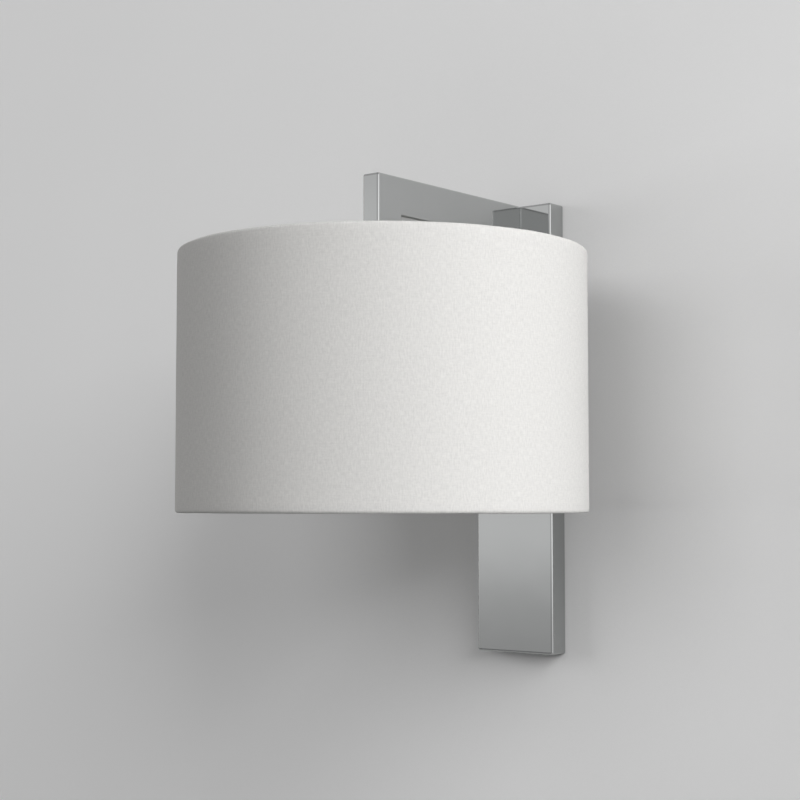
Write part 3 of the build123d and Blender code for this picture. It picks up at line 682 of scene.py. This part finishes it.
def pale(name, tone, passed_on):
    """A matte paint with the faintest mottle, pale to look at and darker in the light it throws back, with a
    painted contact shadow that darkens the pale tone near whatever stands in front of it.
    """
    material, shader = new_finish(name, roughness=0.9, specular_ior_level=0.2)
    stops = [(noise_low, [tone * 0.99] * 3), (noise_high, [tone] * 3)]
    mottled = ramp(material, grain(material, place(material), paint_patches, 2), stops)
    # Painted shadow: the AO node darkens the pale tone, down to the set depth, where something stands within
    # reach in front.
    contact = add(material, "AmbientOcclusion", samples=8)
    contact.inputs["Distance"].default_value = painted_shadow_reach
    painted_shadow_factor = add(material, "MapRange")
    painted_shadow_factor.inputs["To Min"].default_value = 1 - painted_shadow_depth
    join(material, contact.outputs["AO"], painted_shadow_factor.inputs["Value"])
    toned = add(material, "VectorMath", operation="SCALE")
    join(material, mottled, toned.inputs["Vector"])
    join(material, painted_shadow_factor.outputs["Result"], toned.inputs["Scale"])
    pick = add(material, "Mix", data_type="RGBA")
    join(material, looked_at(material, add(material, "LightPath")), pick.inputs["Factor"])
    pick.inputs["A"].default_value = (passed_on, passed_on, passed_on, 1)
    join(material, toned.outputs["Vector"], pick.inputs["B"])
    join(material, pick.outputs["Result"], shader.inputs["Base Color"])
    return material, shader


def as_stage(mesh, name, material):
    """A finished bmesh as a part of the studio."""
    data = bpy.data.meshes.new(name)
    mesh.to_mesh(data)
    mesh.free()
    data.materials.append(material)
    thing = bpy.data.objects.new(name, data)
    bpy.context.scene.collection.objects.link(thing)
    return thing


# %% The wall's paint, clear from behind
wall_tone, wall_passes_on = 0.93, 0.35
wall_paint, wall_shader = pale("wall paint", wall_tone, wall_passes_on)
see_through = add(wall_paint, "BsdfTransparent")
choose = add(wall_paint, "MixShader")
side = add(wall_paint, "NewGeometry")
join(wall_paint, side.outputs["Backfacing"], choose.inputs["Fac"])
join(wall_paint, wall_shader.outputs["BSDF"], choose.inputs[1])
join(wall_paint, see_through.outputs["BSDF"], choose.inputs[2])
join(wall_paint, choose.outputs["Shader"], wall_paint.node_tree.nodes["Material Output"].inputs["Surface"])
print("wall paint is", wall_tone, "to look at and passes on", wall_passes_on)

# %% The wall, with its hole behind the plate
half_wall = 3.0
floor_height = -1.35
behind_plate = 0.0002
under_edge = 0.004
plate_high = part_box("cover")[1]
half_hole = Vector((plate_high.x - under_edge, plate_high.z - under_edge))
mesh = bmesh.new()
bmesh.ops.create_grid(mesh, x_segments=1, y_segments=1, size=0.5)
bmesh.ops.inset_region(mesh, faces=mesh.faces, thickness=0.1, use_boundary=True)
middle = min(mesh.faces, key=lambda f: f.calc_center_median().length)
for point in mesh.verts:
    x, y = point.co.xy
    if point in middle.verts:
        point.co.xy = (math.copysign(half_hole.x, x), math.copysign(half_hole.y, y))
    else:
        point.co.xy = (math.copysign(half_wall, x), floor_height if y < 0 else half_wall)
bmesh.ops.delete(mesh, geom=[middle], context="FACES_ONLY")
bmesh.ops.rotate(mesh, verts=mesh.verts, matrix=Matrix.Rotation(math.radians(90), 3, "X"))
bmesh.ops.recalc_face_normals(mesh, faces=mesh.faces)
if mesh.faces[:][0].normal.y > 0:
    bmesh.ops.reverse_faces(mesh, faces=mesh.faces)
bmesh.ops.translate(mesh, verts=mesh.verts, vec=(0, behind_plate, 0))
wall = as_stage(mesh, "wall", wall_paint)
print("wall", 2 * half_wall, "m wide, down to", floor_height, "m")

# %% The floor
floor_tone, floor_passes_on = 0.70, 0.15
floor_paint, _ = pale("floor paint", floor_tone, floor_passes_on)
mesh = bmesh.new()
bmesh.ops.create_grid(mesh, x_segments=1, y_segments=1, size=half_wall)
bmesh.ops.translate(mesh, verts=mesh.verts, vec=(0, -half_wall, floor_height))
floor = as_stage(mesh, "floor", floor_paint)
print("floor at", floor_height, "m")

# %% [markdown]
# ## Light
# A photographer lights the background and the object apart. Light linking does that here: each soft box
# lists what it falls on. The ones for the wall stand right and left of the middle, so the drum throws one
# shadow down to the left and another behind its right side. The ones for the object stand far round to
# the right, with a weak one on the left, so the drum goes from bright on its right to grey on its left.
# The last stands behind the wall, which doesn't hold it back, and lights the side that the camera doesn't
# see. All of them are kept out of mirrors, or the polished plate would be one white patch: the room's own
# tones serve the chrome.


# %% What the lamps fall on
wall_and_floor = bpy.data.collections.new("wall and floor")
wall_and_floor.objects.link(wall)
wall_and_floor.objects.link(floor)
on_object = bpy.data.collections.new("the light itself")
for thing in bpy.context.scene.objects:
    if thing.type == "MESH" and thing not in (wall, floor):
        on_object.objects.link(thing)

# %% Soft boxes
light_distance = 2.6
aim = Vector((0, -0.14, 0))


def soft_box(name, falls_on, direction, size, power, held_back_by=None):
    """A square light that faces the middle of the object from a direction in degrees."""
    turn, rise = (math.radians(a) for a in direction)
    way_out = Vector((math.sin(turn) * math.cos(rise), -math.cos(turn) * math.cos(rise), math.sin(rise)))
    data = bpy.data.lights.new(name, "AREA")
    data.size = size
    data.energy = power
    lamp = bpy.data.objects.new(name, data)
    bpy.context.scene.collection.objects.link(lamp)
    lamp.location = aim + way_out * light_distance
    lamp.rotation_euler = way_out.to_track_quat("Z", "Y").to_euler()
    lamp.light_linking.receiver_collection = falls_on
    lamp.light_linking.blocker_collection = held_back_by
    lamp.visible_glossy = False


soft_box("wall right", wall_and_floor, (58, 25), 1.6, 44)
soft_box("wall left", wall_and_floor, (-65, 8), 1.2, 17)
soft_box("wall front", wall_and_floor, (5, 14), 1.6, 17)
soft_box("side", on_object, (92, 5), 1.6, 68)
soft_box("near side", on_object, (62, 6), 1.6, 31)
soft_box("high side", on_object, (75, 65), 1.6, 31)
soft_box("fill", on_object, (-50, 10), 1.6, 23)
soft_box("behind", on_object, (-142, 15), 1.2, 26, held_back_by=on_object)
print("eight soft boxes,", light_distance, "m away")

# %% [markdown]
# ## The room that the chrome mirrors
# Chrome shows only what stands round it. The room is brightest near eye level and darker above and
# below. In mirrors it is also a little darker straight in front, and twice as bright far to the right,
# which draws a bright line along the rounded upright edges. The camera and mirrors see the room at full
# strength, while as light on matte surfaces it is weak, which keeps the shadows on the drum.

# %% The room's tones
room_by_height = [
    (-1.0, 0.30), (-0.08, 0.47), (-0.058, 0.58), (-0.03, 0.80), (-0.02, 0.86), (0.17, 0.84), (0.24, 0.60),
    (1.0, 0.45),
]
room_by_side = [
    (-1.0, 0.50), (-0.54, 0.50), (-0.30, 0.38), (0.45, 0.38), (0.60, 0.47), (0.76, 0.50), (0.84, 1.0),
]
side_scale = 2.0
room_share = 0.03
world = bpy.data.worlds.new("room")
bpy.context.scene.world = world
world.use_nodes = True
direction = add(world, "TexCoord")
split = add(world, "SeparateXYZ")
join(world, direction.outputs["Generated"], split.inputs["Vector"])


def tones_along(part, stops):
    """Tones by one part of the direction, which runs from -1 to 1."""
    level = sum_up(world, "MULTIPLY", sum_up(world, "ADD", split.outputs[part], 1), 0.5)
    return ramp(world, level, [((value + 1) / 2, [tone] * 3) for value, tone in stops])


ray = add(world, "LightPath")
by_side = sum_up(world, "MULTIPLY", tones_along("X", room_by_side), side_scale)
in_mirrors = add(world, "MapRange")
in_mirrors.inputs["To Min"].default_value = 1
join(world, ray.outputs["Is Glossy Ray"], in_mirrors.inputs["Value"])
join(world, by_side, in_mirrors.inputs["To Max"])
tones = add(world, "VectorMath", operation="SCALE")
join(world, tones_along("Z", room_by_height), tones.inputs["Vector"])
join(world, in_mirrors.outputs["Result"], tones.inputs["Scale"])
join(world, tones.outputs["Vector"], world.node_tree.nodes["Background"].inputs["Color"])
strength = sum_up(world, "MAXIMUM", looked_at(world, ray), room_share)
join(world, strength, world.node_tree.nodes["Background"].inputs["Strength"])
bpy.context.scene.view_settings.view_transform = "Standard"
print("room in place,", room_share, "of it falls on matte surfaces")
